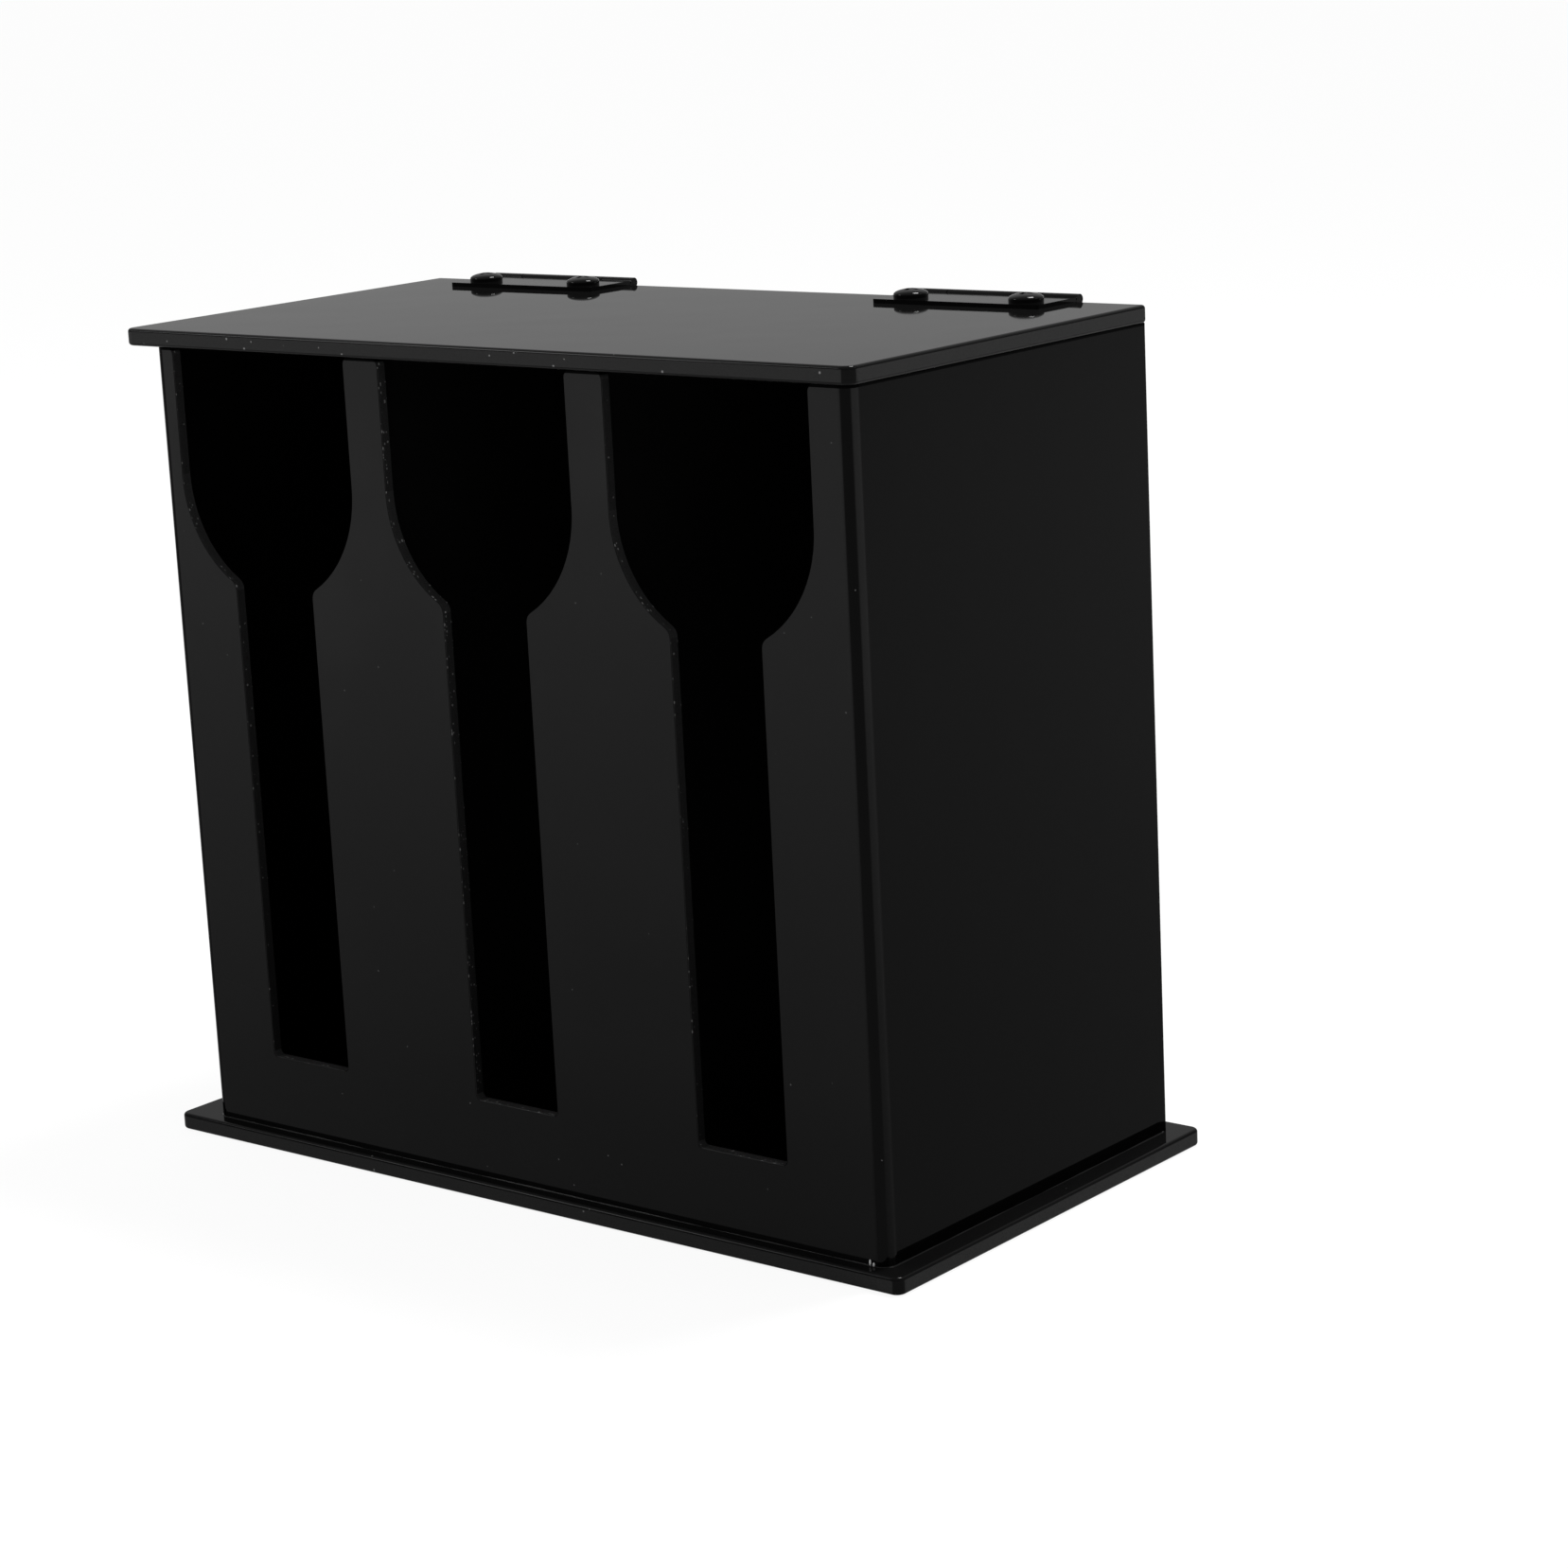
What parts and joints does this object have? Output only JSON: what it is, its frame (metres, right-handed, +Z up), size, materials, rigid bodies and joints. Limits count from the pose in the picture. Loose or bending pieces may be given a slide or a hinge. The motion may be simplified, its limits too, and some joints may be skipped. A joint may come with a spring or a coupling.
{
  "type": "cutlery organizer",
  "caption": "Upright tabletop cutlery organizer in glossy black sheet, with combed front openings over separate compartments, a wider base plate and a flat lid on rear butt hinges.",
  "frame": {"origin": "centre of the base plate's underside", "axes": "+X to the right along the front, +Y to the back where the hinges are, +Z up"},
  "size_m": [0.275, 0.1456, 0.2477],
  "materials": {
    "black_acrylic": "cast sheet, glossy faces and polished cut edges",
    "hinge_metal": "glossy black coating",
    "fastener_metal": "glossy black coating"
  },
  "bodies": {
    "body": {"base_plate": "black_acrylic", "bent_body_sheet": "black_acrylic", "back_panel": "black_acrylic", "left_divider": "black_acrylic", "right_divider": "black_acrylic", "left_hinge_back_leaf": "hinge_metal", "left_hinge_pin": "hinge_metal", "left_hinge_left_back_screw": "fastener_metal", "left_hinge_left_back_nut": "fastener_metal", "left_hinge_right_back_screw": "fastener_metal", "left_hinge_right_back_nut": "fastener_metal", "right_hinge_back_leaf": "hinge_metal", "right_hinge_pin": "hinge_metal", "right_hinge_left_back_screw": "fastener_metal", "right_hinge_left_back_nut": "fastener_metal", "right_hinge_right_back_screw": "fastener_metal", "right_hinge_right_back_nut": "fastener_metal"},
    "lid": {"lid_panel": "black_acrylic", "left_hinge_lid_leaf": "hinge_metal", "left_hinge_left_lid_screw": "fastener_metal", "left_hinge_left_lid_nut": "fastener_metal", "left_hinge_right_lid_screw": "fastener_metal", "left_hinge_right_lid_nut": "fastener_metal", "right_hinge_lid_leaf": "hinge_metal", "right_hinge_left_lid_screw": "fastener_metal", "right_hinge_left_lid_nut": "fastener_metal", "right_hinge_right_lid_screw": "fastener_metal", "right_hinge_right_lid_nut": "fastener_metal"}
  },
  "joints": [
    {"name": "lid_hinge", "type": "hinge", "parent": "body", "child": "lid", "pos_m": [0, 0.0665, 0.2445], "axis": [-1, 0, 0], "range_deg": [0, 240]}
  ]
}
